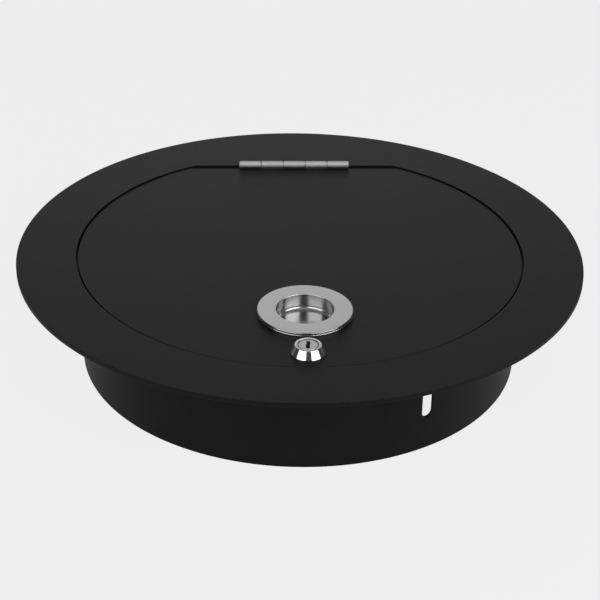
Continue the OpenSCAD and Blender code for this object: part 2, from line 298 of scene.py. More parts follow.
# Rings of points between the slots keep the long upright faces short, so that the slots shade cleanly.
slot_low = sleeve_low.z + slot_above_foot
between_slots = (slot_low + slot_length + cam_low.z - cam_slot_gap) / 2
above_cam_slot = cam_high.z + cam_slot_gap + 1 * MM
sleeve_levels = [sleeve_low.z, slot_low - 1 * MM, between_slots, above_cam_slot, sleeve_high.z]
outer_wall = [(sleeve_radius, level) for level in sleeve_levels]
inner_wall = [(sleeve_radius - sleeve_wall, level) for level in reversed(sleeve_levels)]
sleeve = turned("cable_sleeve", outer_wall + inner_wall, plate_sides, ring=True)


def slot_cutter():
    """A round bar pointing out at the lock's side, its upper half moved up to make an upright slot."""
    bpy.ops.object.select_all(action="DESELECT")
    bpy.ops.mesh.primitive_cylinder_add(vertices=slot_sides, radius=slot_width / 2, depth=8 * sleeve_wall,
                                        rotation=(pi / 2, 0, 0))
    cutter = bpy.context.object
    bpy.ops.object.transform_apply(rotation=True)
    bpy.ops.object.mode_set(mode="EDIT")
    bpy.ops.mesh.select_all(action="DESELECT")
    bpy.ops.object.mode_set(mode="OBJECT")
    for vertex in cutter.data.vertices:
        vertex.select = vertex.co.z > 0
    bpy.ops.object.mode_set(mode="EDIT")
    bpy.ops.transform.translate(value=(0, 0, slot_length - slot_width))
    bpy.ops.object.mode_set(mode="OBJECT")
    place(cutter, (0, -sleeve_radius, slot_low + slot_width / 2))
    return cutter


# Half a side round, no upright edge of the hoop falls close to a slot's end.
place(sleeve, (0, 0, 0), (0, 0, pi / plate_sides))
for number in range(slot_count):
    cutter = slot_cutter()
    place(cutter, (0, 0, 0), (0, 0, first_slot + number * 2 * pi / slot_count))
    combine(sleeve, cutter)
combine(sleeve, block("cam_slot", (-cam_reach, -sleeve_radius - 2 * past, cam_low.z - cam_slot_gap),
                      (cam_reach, lock_y, cam_high.z + cam_slot_gap)))
soften(sleeve, sleeve_edge, segments=2)
smooth(sleeve, black_coat)
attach(sleeve, "frame")
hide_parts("sleeve")


# ---- Hinge bars ----
# Two flat steel bars welded below the straight edges of flange and lid, which the hinge leaves are riveted
# to. Each is coated with the plate that carries it.
bar_edge = 0.3 * MM
frame_bar = block("frame_bar", *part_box("frame_hinge_bar"))
lid_bar = block("lid_bar", *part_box("lid_hinge_bar"))
for bar, body, node in ((frame_bar, "frame", "frame_hinge_bar"), (lid_bar, "lid", "lid_hinge_bar")):
    soften(bar, bar_edge)
    smooth(bar, black_coat)
    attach(bar, body)
    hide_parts(node)


# ---- Lid bumpers ----
# Four soft polyurethane rubber dots, cast with a rounded top and a self-adhesive foot, and stuck to the ledge
# ring. The shut lid rests on them without a rattle.
bumper_low, bumper_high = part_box("lid_bumpers")
bumper_radius = 2.5 * MM
bumper_ring = lid_radius - ledge_reach / 2
bumper_count = 4
bumper_first = radians(45)


def bumper_rubber():
    """Black polyurethane rubber, cast: matt, with a dusty bloom that lifts its edges."""
    material, tree, place_of = new_material("bumper_rubber_black")
    bloom = add_node(tree, "ShaderNodeTexNoise", {"Vector": place_of, "Scale": 1 / (0.8 * MM), "Detail": 3.0})
    colour = add_node(tree, "ShaderNodeValToRGB", {"Fac": bloom.outputs["Fac"]})
    colour.color_ramp.elements[0].color = linear("#161616")
    colour.color_ramp.elements[1].color = linear("#242424")
    bump = add_node(tree, "ShaderNodeBump", {"Height": bloom.outputs["Fac"], "Strength": 0.3,
                                             "Distance": 0.05 * MM})
    shader = add_node(tree, "ShaderNodeBsdfPrincipled", {
        "Base Color": colour.outputs["Color"], "Roughness": 0.75, "Normal": bump.outputs["Normal"]})
    finish_material(tree, shader)
    return material


bumper_outline = [(bumper_radius, bumper_low.z), (bumper_radius, bumper_high.z - 0.35 * MM),
                  (bumper_radius - 0.1 * MM, bumper_high.z - 0.15 * MM),
                  (bumper_radius - 0.3 * MM, bumper_high.z - 0.03 * MM),
                  (bumper_radius - 0.6 * MM, bumper_high.z)]
bumpers = []
for number in range(bumper_count):
    angle = bumper_first + number * 2 * pi / bumper_count
    bumper = turned("bumper", bumper_outline, 32)
    place(bumper, (bumper_ring * cos(angle), bumper_ring * sin(angle), 0))
    bumpers.append(bumper)


def join(pieces, name):
    """Joins like solids into one piece, as they share one node."""
    bpy.ops.object.select_all(action="DESELECT")
    for piece in pieces:
        piece.select_set(True)
    bpy.context.view_layer.objects.active = pieces[0]
    bpy.ops.object.join()
    joined = bpy.context.object
    joined.name = joined.data.name = name
    return joined


bumper_set = join(bumpers, "bumper_dots")
smooth(bumper_set, bumper_rubber())
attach(bumper_set, "frame")
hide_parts("lid_bumpers")


# ---- Hinge ----
# Stock 3 inch butt hinge in stainless steel. Five brushed knuckles are rolled from two pressed leaves, which
# hang in the gap between flange and lid. Every face below the fingers' tops, the knuckles' undersides too,
# gets a darker, duller copy of the steel as painted shade for the gap under the barrel. The pin is pressed
# into the flange's three knuckles, and the lid's two turn on it.
leaf_low, leaf_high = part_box("hinge_frame_leaf")
pin_low, pin_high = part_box("hinge_pin")
hinge_half = leaf_high.x
knuckle_count = 5
knuckle_pitch = 2 * hinge_half / knuckle_count
knuckle_gap = 0.3 * MM
leaf_thick = 1 * MM
axis_y = (leaf_low.y + leaf_high.y) / 2
axis_z = (pin_low.z + pin_high.z) / 2
barrel_radius = leaf_high.z - axis_z
pin_radius = (pin_high.z - pin_low.z) / 2
knuckle_edge = 0.7 * MM
leaf_top = flange_top - 1.5 * MM
finger_root = 1 * MM
finger_top = axis_z - 1.4 * MM
bore_gap = 0.05 * MM


def hinge_steel():
    """Stainless steel, tumbled and lightly brushed along the barrel: grey, soft broad highlights, with fine
    scratches along its length."""
    material, tree, place_of = new_material("stainless_satin")
    stretch = add_node(tree, "ShaderNodeMapping", {"Vector": place_of, "Scale": (0.06, 1, 1)})
    brush = add_node(tree, "ShaderNodeTexNoise", {"Vector": stretch.outputs["Vector"],
                                                  "Scale": 1 / (0.35 * MM), "Detail": 4.0, "Roughness": 0.65})
    wear = add_node(tree, "ShaderNodeTexNoise", {"Vector": place_of, "Scale": 1 / (5 * MM), "Detail": 3.0})
    colour = add_node(tree, "ShaderNodeValToRGB", {"Fac": brush.outputs["Fac"]})
    colour.color_ramp.elements[0].position = 0.3
    colour.color_ramp.elements[0].color = linear("#cacaca")
    colour.color_ramp.elements[1].position = 0.7
    colour.color_ramp.elements[1].color = linear("#e0e0e0")
    rough = add_node(tree, "ShaderNodeMapRange", {"Value": wear.outputs["Fac"], "From Min": 0.3,
                                                  "From Max": 0.7, "To Min": 0.72, "To Max": 0.8})
    bump = add_node(tree, "ShaderNodeBump", {"Height": brush.outputs["Fac"], "Strength": 0.15,
                                             "Distance": 0.03 * MM})
    shader = add_node(tree, "ShaderNodeBsdfPrincipled", {
        "Base Color": colour.outputs["Color"], "Metallic": 1.0, "Roughness": rough.outputs["Result"],
        "Normal": bump.outputs["Normal"]})
    finish_material(tree, shader)
    return material


def leaf_shade_steel():
    """The same steel, duller and darker as painted shade for the gap under the barrel, with a faint mottle.
    """
    material, tree, place_of = new_material("stainless_painted_shade")
    mottle = add_node(tree, "ShaderNodeTexNoise", {"Vector": place_of, "Scale": 1 / (2 * MM), "Detail": 3.0})
    colour = add_node(tree, "ShaderNodeValToRGB", {"Fac": mottle.outputs["Fac"]})
    colour.color_ramp.elements[0].position = 0.3
    colour.color_ramp.elements[0].color = linear("#6c6b69")
    colour.color_ramp.elements[1].position = 0.7
    colour.color_ramp.elements[1].color = linear("#7c7b79")
    shader = add_node(tree, "ShaderNodeBsdfPrincipled", {
        "Base Color": colour.outputs["Color"], "Metallic": 1.0, "Roughness": 0.5})
    finish_material(tree, shader)
    return material


def add_finish_and_shade(piece, material, wanted):
    """Gives a second material, a finish with painted shade, to the faces whose middles wanted picks."""
    only(piece)
    piece.data.materials.append(material)
    bpy.ops.object.mode_set(mode="EDIT")
    bpy.ops.mesh.select_all(action="DESELECT")
    bpy.ops.object.mode_set(mode="OBJECT")
    for face in piece.data.polygons:
        face.select = wanted(face.center)
    piece.active_material_index = len(piece.data.materials) - 1
    bpy.ops.object.mode_set(mode="EDIT")
    bpy.ops.object.material_slot_assign()
    bpy.ops.object.mode_set(mode="OBJECT")


def knuckle(x, width, hole):
    """One rolled knuckle along X, with broken ends and a bore for the pin."""
    half = width / 2
    edge = knuckle_edge
    outline = [(hole, -half), (barrel_radius - edge, -half), (barrel_radius - 0.3 * edge, -half + 0.3 * edge),
               (barrel_radius, -half + edge), (barrel_radius, half - edge),
               (barrel_radius - 0.3 * edge, half - 0.3 * edge), (barrel_radius - edge, half), (hole, half)]
    piece = turned("knuckle", outline, 48, ring=True)
    place(piece, (x, axis_y, axis_z), (0, pi / 2, 0))
    return piece


def leaf(name, near_y, far_y, first, hole):
    """A pressed leaf with a finger up to every second knuckle."""
    bottom = leaf_low.z
    piece = block(name, (-hinge_half, near_y, bottom), (hinge_half, far_y, leaf_top))
    for number in range(first, knuckle_count, 2):
        x = (number + 0.5) * knuckle_pitch - hinge_half
        width = knuckle_pitch - knuckle_gap
        finger = block("finger", (x - width / 2, near_y, leaf_top - finger_root),
                       (x + width / 2, far_y, finger_top))
        combine(piece, finger, "UNION")
        combine(piece, knuckle(x, width, hole), "UNION")
    return piece


satin_steel = hinge_steel()
painted_shade_steel = leaf_shade_steel()
frame_leaf = leaf("frame_leaf", opening_straight_y - leaf_thick, opening_straight_y, 0, pin_radius)
lid_leaf = leaf("lid_leaf", lid_high.y, lid_high.y + leaf_thick, 1, pin_radius + bore_gap)
for piece, body, node in ((frame_leaf, "frame", "hinge_frame_leaf"), (lid_leaf, "lid", "hinge_lid_leaf")):
    smooth(piece, satin_steel)
    # Faces below the fingers' tops get the darker steel, painted shade for the gap under the barrel.
    add_finish_and_shade(piece, painted_shade_steel, lambda middle: middle.z < finger_top)
    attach(piece, body)
    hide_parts(node)

pin_half = (pin_high.x - pin_low.x) / 2
pin_break = 0.3 * MM
pin_cone = 0.25 * MM
pin = turned("pin", [(pin_radius - pin_break, -pin_half), (pin_radius, -pin_half + pin_cone),
                     (pin_radius, pin_half - pin_cone), (pin_radius - pin_break, pin_half)], 32)
place(pin, (0, axis_y, axis_z), (0, pi / 2, 0))
smooth(pin, satin_steel)
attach(pin, "frame")
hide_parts("hinge_pin")


# ---- Hinge rivets ----
# Six stainless steel rivets, cold headed, three a side. They are countersunk flush into the leaves and set
# over at the back of the bars.
rivet_radius = 1.6 * MM
rivet_head = 2.5 * MM
rivet_tail = 2.6 * MM
rivet_set = 1.2 * MM
rivet_pitch = 2 * hinge_half / 3
rivet_low, rivet_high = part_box("hinge_frame_rivets")
rivet_length = rivet_high.y - rivet_low.y
rivet_z = (rivet_low.z + rivet_high.z) / 2
rivet_outline = [(rivet_head - 0.1 * MM, 0), (rivet_head, 0.05 * MM), (rivet_radius, 1 * MM),
                 (rivet_radius, rivet_length - rivet_set), (rivet_tail, rivet_length - rivet_set),
                 (rivet_tail - 0.1 * MM, rivet_length - 0.8 * MM),
                 (rivet_tail - 0.5 * MM, rivet_length - 0.35 * MM),
                 (rivet_tail - 1.3 * MM, rivet_length - 0.06 * MM), (0.3 * MM, rivet_length)]
for body, node, face_y, turn in (("frame", "hinge_frame_rivets", rivet_low.y, -pi / 2),
                                 ("lid", "hinge_lid_rivets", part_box("hinge_lid_rivets")[1].y, pi / 2)):
    rivets = []
    for number in (-1, 0, 1):
        rivet = turned("rivet", rivet_outline, 32)
        place(rivet, (number * rivet_pitch, face_y, rivet_z), (turn, 0, 0))
        rivets.append(rivet)
    row = join(rivets, body + "_rivets")
    smooth(row, satin_steel)
    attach(row, body)
    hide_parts(node)


# ---- Lid panel ----
# Disc laser-cut from 1.5 mm steel, straight on the hinge's side, with a round hole for the pull and a flatted
# one for the lock. Powder coated like the flange, it lies on the bumpers a little below the flange's top.
pull_low, pull_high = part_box("pull_cup")
pull_y = (pull_low.y + pull_high.y) / 2
cup_wall = 0.9 * MM
finger_radius = 17.2 * MM
cup_radius = finger_radius + cup_wall
hole_gap = 0.15 * MM
lock_body_radius = 8 * MM
lock_flat = 7.5 * MM

lid = turned("lid", [(lid_radius, lid_low.z), (lid_radius, lid_high.z)], plate_sides)
slice_off(lid, (0, lid_high.y, 0), (0, 1, 0))
hole = round_cutter("hole", cup_radius + hole_gap, lid_low.z, lid_high.z, 96)
place(hole, (0, pull_y, 0))
combine(lid, hole)
hole = round_cutter("hole", lock_body_radius + hole_gap, lid_low.z, lid_high.z, 64)
place(hole, (0, lock_y, 0))
slice_off(hole, (lock_flat + hole_gap, 0, 0), (1, 0, 0))
slice_off(hole, (-lock_flat - hole_gap, 0, 0), (-1, 0, 0))
combine(lid, hole)
soften(lid, plate_edge)
smooth(lid, black_coat)
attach(lid, "lid")
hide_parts("lid_panel")


# ---- Finger pull ----
# Cup deep-drawn from 0.9 mm stainless sheet, with a wide flat rim hemmed over a backing ring. The rim's face
# is brushed satin, its rounded edges and the cup are polished and given a darker colour as painted shade, and
# cup and rim meet in a small rolled lip.
pull_radius = (pull_high.x - pull_low.x) / 2
rim_top = pull_high.z
cup_floor = pull_low.z + cup_wall
cup_fillet = 2.5 * MM
foot_fillet = 1 * MM
lip = 0.5 * MM
rim_edge = 0.55 * MM
rim_seam = (rim_top + lid_high.z) / 2
seam_depth = 0.25 * MM
arc_steps = 6


def arc(radius_at, height_at, size, start, end, steps=arc_steps):
    """Points on a quarter circle about (radius_at, height_at), from one angle to the other in degrees."""
    angles = [radians(start + (end - start) * i / steps) for i in range(steps + 1)]
    return [(radius_at + size * cos(a), height_at + size * sin(a)) for a in angles]


def satin_rim():
    """Stainless sheet, brushed across with a fine belt: even mid-grey, with hair-fine straight lines."""
    material, tree, place_of = new_material("stainless_brushed_rim")
    stretch = add_node(tree, "ShaderNodeMapping", {"Vector": place_of, "Scale": (0.08, 1, 1)})
    brush = add_node(tree, "ShaderNodeTexNoise", {"Vector": stretch.outputs["Vector"],
                                                  "Scale": 1 / (0.5 * MM), "Detail": 4.0, "Roughness": 0.7})
    colour = add_node(tree, "ShaderNodeValToRGB", {"Fac": brush.outputs["Fac"]})
    colour.color_ramp.elements[0].position = 0.3
    colour.color_ramp.elements[0].color = linear("#d7d7d7")
    colour.color_ramp.elements[1].position = 0.7
    colour.color_ramp.elements[1].color = linear("#e3e3e3")
    rough = add_node(tree, "ShaderNodeMapRange", {"Value": brush.outputs["Fac"], "From Min": 0.3,
                                                  "From Max": 0.7, "To Min": 0.36, "To Max": 0.46})
    bump = add_node(tree, "ShaderNodeBump", {"Height": brush.outputs["Fac"], "Strength": 0.08,
                                             "Distance": 0.03 * MM})
    shader = add_node(tree, "ShaderNodeBsdfPrincipled", {
        "Base Color": colour.outputs["Color"], "Metallic": 1.0, "Roughness": rough.outputs["Result"],
        "Normal": bump.outputs["Normal"]})
    finish_material(tree, shader)
    return material


def polished_steel_painted_shade():
    """The same stainless sheet, buffed: mirror-like, with a faint cloudiness. Its darker colour is painted
    shade for the cup's hollow and the rim's outer edge.
    """
    material, tree, place_of = new_material("stainless_polished_painted_shade")
    cloud = add_node(tree, "ShaderNodeTexNoise", {"Vector": place_of, "Scale": 1 / (3 * MM), "Detail": 2.0})
    rough = add_node(tree, "ShaderNodeMapRange", {"Value": cloud.outputs["Fac"], "From Min": 0.3,
                                                  "From Max": 0.7, "To Min": 0.19, "To Max": 0.25})
    shader = add_node(tree, "ShaderNodeBsdfPrincipled", {
        "Base Color": linear("#aeaeae"), "Metallic": 1.0, "Roughness": rough.outputs["Result"]})
    finish_material(tree, shader)
    return material


cup_outline = (arc(finger_radius - cup_fillet, cup_floor + cup_fillet, cup_fillet, -90, 0, 8)
               + arc(finger_radius + lip, rim_top - lip, lip, 180, 90)
               + arc(pull_radius - rim_edge, rim_top - rim_edge, rim_edge, 90, 0)
               + arc(pull_radius - seam_depth, rim_seam + seam_depth, seam_depth, 0, -60, 3)
               + arc(pull_radius - rim_edge, rim_seam - rim_edge, rim_edge, 75, 0)
               + arc(pull_radius - seam_depth, lid_high.z + seam_depth, seam_depth, 0, -90, 3)
               + [(cup_radius, lid_high.z)]
               + arc(cup_radius - foot_fillet, pull_low.z + foot_fillet, foot_fillet, 0, -90))
pull = turned("finger_pull", cup_outline, 128)
place(pull, (0, pull_y, 0))
smooth(pull, satin_rim())


def polished_and_shaded(middle):
    """True inside the cup and on the rim's rounded edges, which take the polished steel with painted shade.
    """
    from_axis = hypot(middle.x, middle.y - pull_y)
    inside_cup = from_axis < finger_radius + 0.2 * lip and middle.z > cup_floor - 0.1 * MM
    return inside_cup or from_axis > pull_radius - rim_edge


# The cup and the rim's rounded edges get the darker polished steel: painted shade.
add_finish_and_shade(pull, polished_steel_painted_shade(), polished_and_shaded)
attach(pull, "lid")
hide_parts("pull_cup")


# ---- Pull retaining ring ----
# Push-on ring stamped from spring steel and zinc plated, below the lid. Slits leave teeth round its hole,
# which bend and bite on the cup.
ring_low, ring_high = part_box("pull_retaining_ring")
ring_radius = (ring_high.x - ring_low.x) / 2
slit_count = 12
slit_half = 0.5 * MM
slit_reach = 3 * MM
slit_edge = 0.12 * MM


def zinc_plate():
    """Bright zinc plate on steel: light bluish grey, half gloss, faintly cloudy from the bath."""
    material, tree, place_of = new_material("zinc_plate_bright")
    cloud = add_node(tree, "ShaderNodeTexNoise", {"Vector": place_of, "Scale": 1 / (2.5 * MM), "Detail": 4.0})
    colour = add_node(tree, "ShaderNodeValToRGB", {"Fac": cloud.outputs["Fac"]})
    colour.color_ramp.elements[0].position = 0.3
    colour.color_ramp.elements[0].color = linear("#a9adb1")
    colour.color_ramp.elements[1].position = 0.7
    colour.color_ramp.elements[1].color = linear("#c4c8cb")
    rough = add_node(tree, "ShaderNodeMapRange", {"Value": cloud.outputs["Fac"], "From Min": 0.3,
                                                  "From Max": 0.7, "To Min": 0.26, "To Max": 0.4})
    shader = add_node(tree, "ShaderNodeBsdfPrincipled", {
        "Base Color": colour.outputs["Color"], "Metallic": 1.0, "Roughness": rough.outputs["Result"]})
    finish_material(tree, shader)
    return material


def spokes(count, low, high, centre_y):
    """Like blocks spread evenly round an upright axis, joined as one cutter."""
    blocks = []
    for number in range(count):
        spoke = block("spoke", low, high)
        place(spoke, (0, 0, 0), (0, 0, number * 2 * pi / count))
        blocks.append(spoke)
    cutter = join(blocks, "spokes")
    place(cutter, (0, centre_y, 0))
    return cutter


bright_zinc = zinc_plate()
retainer = turned("push_on_ring", [(cup_radius, ring_low.z), (ring_radius, ring_low.z),
                                   (ring_radius, ring_high.z), (cup_radius, ring_high.z)], 96, ring=True)
place(retainer, (0, pull_y, 0))
combine(retainer, spokes(slit_count, (cup_radius - past, -slit_half, ring_low.z - past),
                         (cup_radius + slit_reach, slit_half, ring_high.z + past), pull_y))
soften(retainer, slit_edge, segments=2)
smooth(retainer, bright_zinc)
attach(retainer, "lid")
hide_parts("pull_retaining_ring")


# ---- Lock housing ----
# Die-cast zinc body, chrome plated. The conical head stands on the lid, and the threaded body below has two
# flats that stop it turning in its hole. Inside are grooves for the wafers, and the quarter-turn recess at
# its end stops the cam.
head_radius = (lock_high.x - lock_low.x) / 2
head_top = lock_high.z
head_flat_radius = 7.75 * MM
body_end = lock_low.z
plug_low, plug_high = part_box("lock_plug")
plug_radius = (plug_high.x - plug_low.x) / 2
bore_radius = plug_radius + bore_gap
thread_pitch = 1 * MM
thread_depth = 0.45 * MM
thread_top = lid_low.z
stop_recess = 1.5 * MM
tab_room = 2.3 * MM
wafer_low, wafer_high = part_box("lock_wafers")
wafer_gap = 0.2 * MM
groove_reach = 6.8 * MM
groove_margin = 0.7 * MM


def chrome_plate():
    """Bright chrome over polished die-cast zinc: a cool mirror with a trace of orange peel."""
    material, tree, place_of = new_material("chrome_plate")
    peel = add_node(tree, "ShaderNodeTexNoise", {"Vector": place_of, "Scale": 1 / (1.6 * MM), "Detail": 2.0})
    rough = add_node(tree, "ShaderNodeMapRange", {"Value": peel.outputs["Fac"], "From Min": 0.3,
                                                  "From Max": 0.7, "To Min": 0.1, "To Max": 0.16})
    bump = add_node(tree, "ShaderNodeBump", {"Height": peel.outputs["Fac"], "Strength": 0.05,
                                             "Distance": 0.03 * MM})
    shader = add_node(tree, "ShaderNodeBsdfPrincipled", {
        "Base Color": linear("#dcdddf"), "Metallic": 1.0, "Roughness": rough.outputs["Result"],
        "Normal": bump.outputs["Normal"]})
    finish_material(tree, shader)
    return material


thread = []
thread_turns = int((thread_top - body_end) / thread_pitch)
for number in range(thread_turns):
    crest = body_end + (number + 0.5) * thread_pitch
    thread.append((lock_body_radius - thread_depth, crest - thread_pitch / 2))
    thread.append((lock_body_radius, crest))
head_outline = [(bore_radius, body_end)] + thread + [
    (lock_body_radius, thread_top), (lock_body_radius, lid_high.z), (head_radius - 0.15 * MM, lid_high.z),
    (head_radius, lid_high.z + 0.15 * MM), (head_radius, lid_high.z + 0.45 * MM),
    (head_radius - 0.12 * MM, lid_high.z + 0.65 * MM),
    (head_flat_radius + 0.12 * MM, head_top - 0.3 * MM), (head_flat_radius - 0.02 * MM, head_top - 0.1 * MM),
    (head_flat_radius - 0.2 * MM, head_top), (bore_radius + 0.15 * MM, head_top),
    (bore_radius, head_top - 0.15 * MM)]
housing = turned("lock_body", head_outline, 96, ring=True)
place(housing, (0, lock_y, 0))
for side in (-1, 1):
    near, far = sorted((side * lock_flat, side * 2 * lock_flat))
    combine(housing, block("flat", (near, lock_y - 2 * lock_flat, body_end - past),
                           (far, lock_y + 2 * lock_flat, lid_low.z)))
combine(housing, block("recess", (-tab_room, lock_y - 2 * lock_flat, body_end - past),
                       (2 * lock_flat, lock_y + tab_room, body_end + stop_recess)))
for turn in (0, pi / 2):
    groove = block("groove", (wafer_low.x - wafer_gap, -groove_reach, wafer_low.z - groove_margin),
                   (wafer_high.x + wafer_gap, groove_reach, wafer_high.z + groove_margin))
    place(groove, (0, lock_y, 0), (0, 0, turn))
    combine(housing, groove)
smooth(housing, chrome_plate(), 32)
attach(housing, "lid")
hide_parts("lock_housing")


# ---- Lock washer and nut ----
# Toothed washer stamped from steel and a thin machined hexagon nut, both zinc plated. They clamp the housing
# from below the lid.
washer_low, washer_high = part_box("lock_washer")
washer_radius = (washer_high.x - washer_low.x) / 2
tooth_count = 16
tooth_depth = 1 * MM
tooth_gap_half = 0.4 * MM
washer_outline = [(lock_body_radius, washer_low.z), (washer_radius, washer_low.z),
                  (washer_radius, washer_high.z), (lock_body_radius, washer_high.z)]
washer = turned("toothed_washer", washer_outline, 96, ring=True)
place(washer, (0, lock_y, 0))
combine(washer, spokes(tooth_count, (washer_radius - tooth_depth, -tooth_gap_half, washer_low.z - past),
                       (washer_radius + past, tooth_gap_half, washer_high.z + past), lock_y))
smooth(washer, bright_zinc)
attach(washer, "lid")
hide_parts("lock_washer")

nut_low, nut_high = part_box("lock_nut")
nut_corner = (nut_high.x - nut_low.x) / 2
nut_flat = (nut_high.y - nut_low.y) / 2
face_inset = 0.3 * MM
nut_chamfer = (nut_corner - nut_flat + face_inset) * tan(radians(30))
nut = turned("hexagon_nut", [(nut_corner, nut_low.z), (nut_corner, nut_high.z)], 6)
place(nut, (0, 0, 0), (0, 0, pi / 6))
chamfer_outline = [(nut_flat - face_inset, nut_low.z), (nut_corner, nut_low.z + nut_chamfer),
                   (nut_corner, nut_high.z - nut_chamfer), (nut_flat - face_inset, nut_high.z)]
combine(nut, turned("chamfer", chamfer_outline, 96), "INTERSECT")
combine(nut, round_cutter("thread", lock_body_radius, nut_low.z, nut_high.z, 64))
place(nut, (0, lock_y, 0))
smooth(nut, bright_zinc, 25)
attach(nut, "lid")
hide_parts("lock_nut")


# ---- Lock plug ----
# Brass cylinder, nickel plated and faced on a lathe, that the key turns. The keyway is cut in two steps, and
# a flatted tail carries the stop washer and the cam.
plug_top = plug_high.z
tail_radius = 4.5 * MM
tail_flat = 3.25 * MM
keyway_width = 2.3 * MM
keyway_half = 4 * MM
keyway_step = 0.2 * MM
keyway_overlap = 0.5 * MM
keyway_bottom = plug_top - 12 * MM
shoulder_depth = 1.4 * MM
shoulder_step = 0.5 * MM
face_break = 0.1 * MM
wafer_count = 4
wafer_thick = 1 * MM
wafer_pitch = (wafer_high.z - wafer_low.z - wafer_thick) / (wafer_count - 1)


def nickel_face():
    """Nickel plate over turned brass: pale grey, with fine rings from the facing tool about its axis."""
    material, tree, place_of = new_material("nickel_turned")
    centred = add_node(tree, "ShaderNodeMapping", {"Vector": place_of, "Location": (0, -lock_y, 0)})
    tool_feed = 0.45 * MM
    rings = add_node(tree, "ShaderNodeTexWave", {"Vector": centred.outputs["Vector"],
                                                 "Scale": 1 / (pi * tool_feed), "Distortion": 0.6},
                     wave_type="RINGS", rings_direction="Z")
    speck = add_node(tree, "ShaderNodeTexNoise", {"Vector": place_of, "Scale": 1 / (0.6 * MM), "Detail": 3.0})
    colour = add_node(tree, "ShaderNodeValToRGB", {"Fac": speck.outputs["Fac"]})
    colour.color_ramp.elements[0].position = 0.3
    colour.color_ramp.elements[0].color = linear("#d2d2d2")
    colour.color_ramp.elements[1].position = 0.7
    colour.color_ramp.elements[1].color = linear("#dadada")
    bump = add_node(tree, "ShaderNodeBump", {"Height": rings.outputs["Fac"], "Strength": 0.12,
                                             "Distance": 0.02 * MM})
    shader = add_node(tree, "ShaderNodeBsdfPrincipled", {
        "Base Color": colour.outputs["Color"], "Metallic": 1.0, "Roughness": 0.3,
        "Normal": bump.outputs["Normal"]})
    finish_material(tree, shader)
    return material


face_radius = plug_radius - shoulder_step
plug = turned("key_plug", [(plug_radius, body_end), (plug_radius, plug_top - shoulder_depth),
                           (face_radius, plug_top - shoulder_depth), (face_radius, plug_top - face_break),
                           (face_radius - face_break, plug_top)], 96)
tail = turned("tail", [(tail_radius, plug_low.z), (tail_radius, body_end + past)], 48)
slice_off(tail, (tail_flat, 0, 0), (1, 0, 0))
slice_off(tail, (-tail_flat, 0, 0), (-1, 0, 0))
combine(plug, tail, "UNION")
keyway = block("keyway", (-keyway_width / 2 + keyway_step, 0, keyway_bottom),
               (keyway_width / 2 + keyway_step, keyway_half, plug_top + past))
combine(keyway, block("keyway_step", (-keyway_width / 2 - keyway_step, -keyway_half, keyway_bottom),
                      (keyway_width / 2 - keyway_step, keyway_overlap, plug_top + past)), "UNION")
combine(plug, keyway)
for number in range(wafer_count):
    under = wafer_low.z + number * wafer_pitch
    combine(plug, block("wafer_slot", (wafer_low.x - wafer_gap / 2, -2 * plug_radius, under - wafer_gap / 2),
                        (wafer_high.x + wafer_gap / 2, 2 * plug_radius, under + wafer_thick + wafer_gap / 2)))
place(plug, (0, lock_y, 0))
smooth(plug, nickel_face(), 32)
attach(plug, "lock_core")
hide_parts("lock_plug")


# ---- Stop washer, cam, spring washer and screw ----
# Zinc-plated steel pieces stacked on the plug's tail. The washer's tab limits the turn to a quarter, the
# round-ended cam swings into the sleeve's slot, and a socket screw over a split washer clamps them.
stop_low, stop_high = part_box("stop_washer")
stop_thick = 1 * MM
stop_radius = 7.8 * MM
tab_half = 2 * MM
tab_inner = 6.3 * MM
tab_outer = 7.9 * MM
tab_root = 0.2 * MM
stamped_edge = 0.12 * MM


def tail_hole(low, high):
    """A cutter for the flatted hole that fits the plug's tail."""
    cutter = round_cutter("tail_hole", tail_radius, low, high, 48)
    slice_off(cutter, (tail_flat, 0, 0), (1, 0, 0))
    slice_off(cutter, (-tail_flat, 0, 0), (-1, 0, 0))
    return cutter


stop = turned("stop_tab_washer", [(stop_radius, stop_low.z), (stop_radius, stop_low.z + stop_thick)], 64)
combine(stop, block("tab", (tab_inner, -tab_half, stop_low.z + tab_root),
                    (tab_outer, tab_half, stop_high.z)), "UNION")
combine(stop, tail_hole(stop_low.z, stop_high.z))
place(stop, (0, lock_y, 0))
soften(stop, stamped_edge, segments=2)
smooth(stop, bright_zinc)
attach(stop, "lock_core")
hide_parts("stop_washer")

boss_radius = (cam_high.y - cam_low.y) / 2
arm_half = 5 * MM
cam_edge = 0.25 * MM
cam = turned("quarter_turn_cam", [(boss_radius, cam_low.z), (boss_radius, cam_high.z)], 64)
combine(cam, block("arm", (0, -arm_half, cam_low.z), (cam_reach - arm_half, arm_half, cam_high.z)), "UNION")
tip = turned("tip", [(arm_half, cam_low.z), (arm_half, cam_high.z)], 48)
place(tip, (cam_reach - arm_half, 0, 0))
combine(cam, tip, "UNION")
combine(cam, tail_hole(cam_low.z, cam_high.z))
place(cam, (0, lock_y, 0))
soften(cam, cam_edge, segments=2)
smooth(cam, bright_zinc)
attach(cam, "lock_core")
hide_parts("lock_cam")

split_low, split_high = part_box("cam_spring_washer")
screw_low, screw_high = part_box("cam_screw")
screw_head_radius = (screw_high.x - screw_low.x) / 2
shank_radius = 2 * MM
split_half = 0.3 * MM
split_edge = 0.1 * MM
split_outline = [(shank_radius, split_low.z), (screw_head_radius, split_low.z),
                 (screw_head_radius, split_high.z), (shank_radius, split_high.z)]
split = turned("split_washer", split_outline, 48, ring=True)
combine(split, block("split", (-split_half, 0, split_low.z - past),
                     (split_half, 2 * screw_head_radius, split_high.z + past)))
place(split, (0, lock_y, 0))
soften(split, split_edge, segments=2)
smooth(split, bright_zinc)
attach(split, "lock_core")
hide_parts("cam_spring_washer")

